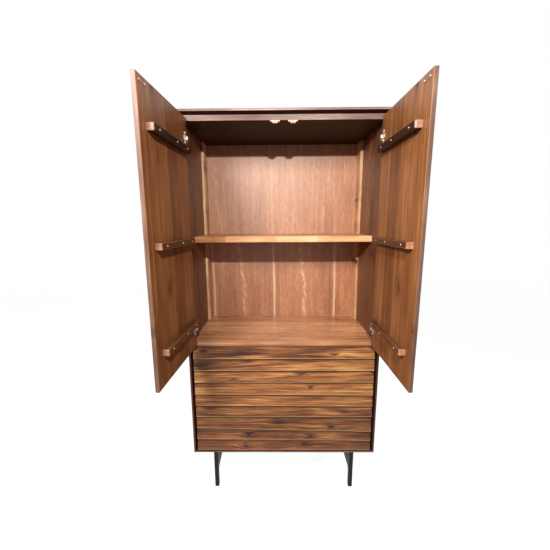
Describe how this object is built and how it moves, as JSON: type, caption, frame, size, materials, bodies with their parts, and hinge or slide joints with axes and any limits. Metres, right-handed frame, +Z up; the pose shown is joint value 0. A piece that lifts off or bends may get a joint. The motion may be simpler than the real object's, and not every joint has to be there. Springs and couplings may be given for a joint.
{
  "type": "two-door cabinet over drawers",
  "caption": "Tall slatted wood cabinet on steel leg frames: a shelved cupboard behind inset hinged doors, above wide drawers that slide out.",
  "frame": {"origin": "On the floor, in the middle of the whole footprint with the doors open as at rest, which is close to the middle of the case's front edge", "axes": "+X to the right seen from the front, +Y from the front to the back, +Z up"},
  "size_m": [1.0099, 0.9836, 2.021],
  "materials": {
    "case_wood": "satin lacquer",
    "back_wood": "satin lacquer",
    "door_wood": "satin lacquer",
    "slat_wood": "satin lacquer",
    "drawer_wood": "matt lacquer",
    "black_steel": "matt powder coat",
    "black_plastic": "matt",
    "white_plastic": "satin",
    "bright_nickel": "bright nickel plate",
    "runner_steel": "zinc plate"
  },
  "bodies": {
    "case": {"top_panel": "case_wood", "bottom_panel": "case_wood", "right_side_panel": "case_wood", "left_side_panel": "case_wood", "back_panel": "back_wood", "right_back_stile": "back_wood", "left_back_stile": "back_wood", "cupboard_ceiling": "case_wood", "cupboard_floor": "case_wood", "shelf": "case_wood", "shelf_pins": "bright_nickel", "right_leg_frame": "black_steel", "left_leg_frame": "black_steel", "foot_caps": "black_plastic", "hinge_arms": "bright_nickel", "hinge_plates": "bright_nickel", "catch_housings": "white_plastic", "catch_pole_plates": "bright_nickel", "case_screws": "bright_nickel", "case_runners": "runner_steel"},
    "left_door": {"left_door_board": "door_wood", "left_door_slats": "slat_wood", "left_door_screws": "bright_nickel", "left_strike_plate": "bright_nickel", "left_hinge_cups": "bright_nickel", "left_hinge_pins": "bright_nickel", "left_lower_batten": "door_wood", "left_middle_batten": "door_wood", "left_upper_batten": "door_wood"},
    "right_door": {"right_door_board": "door_wood", "right_door_slats": "slat_wood", "right_door_screws": "bright_nickel", "right_strike_plate": "bright_nickel", "right_hinge_cups": "bright_nickel", "right_hinge_pins": "bright_nickel", "right_lower_batten": "door_wood", "right_middle_batten": "door_wood", "right_upper_batten": "door_wood"},
    "lower_drawer": {"lower_drawer_front_board": "drawer_wood", "lower_drawer_front_slats": "slat_wood", "lower_drawer_right_side": "drawer_wood", "lower_drawer_left_side": "drawer_wood", "lower_drawer_back_board": "drawer_wood", "lower_drawer_bottom_board": "drawer_wood", "lower_drawer_runners": "runner_steel"},
    "middle_drawer": {"middle_drawer_front_board": "drawer_wood", "middle_drawer_front_slats": "slat_wood", "middle_drawer_right_side": "drawer_wood", "middle_drawer_left_side": "drawer_wood", "middle_drawer_back_board": "drawer_wood", "middle_drawer_bottom_board": "drawer_wood", "middle_drawer_runners": "runner_steel"},
    "upper_drawer": {"upper_drawer_front_board": "drawer_wood", "upper_drawer_front_slats": "slat_wood", "upper_drawer_right_side": "drawer_wood", "upper_drawer_left_side": "drawer_wood", "upper_drawer_back_board": "drawer_wood", "upper_drawer_bottom_board": "drawer_wood", "upper_drawer_runners": "runner_steel"}
  },
  "joints": [
    {"name": "left_door_hinge", "type": "hinge", "parent": "case", "child": "left_door", "pos_m": [-0.469, -0.02425, 1.42975], "axis": [0, 0, -1], "range_deg": [-93.6, 11.4]},
    {"name": "right_door_hinge", "type": "hinge", "parent": "case", "child": "right_door", "pos_m": [0.469, -0.02425, 1.42975], "axis": [0, 0, 1], "range_deg": [-90, 15]},
    {"name": "lower_drawer_slide", "type": "slide", "parent": "case", "child": "lower_drawer", "axis": [0, -1, 0], "range_m": [0, 0.3]},
    {"name": "middle_drawer_slide", "type": "slide", "parent": "case", "child": "middle_drawer", "axis": [0, -1, 0], "range_m": [0, 0.3]},
    {"name": "upper_drawer_slide", "type": "slide", "parent": "case", "child": "upper_drawer", "axis": [0, -1, 0], "range_m": [0, 0.3]}
  ]
}
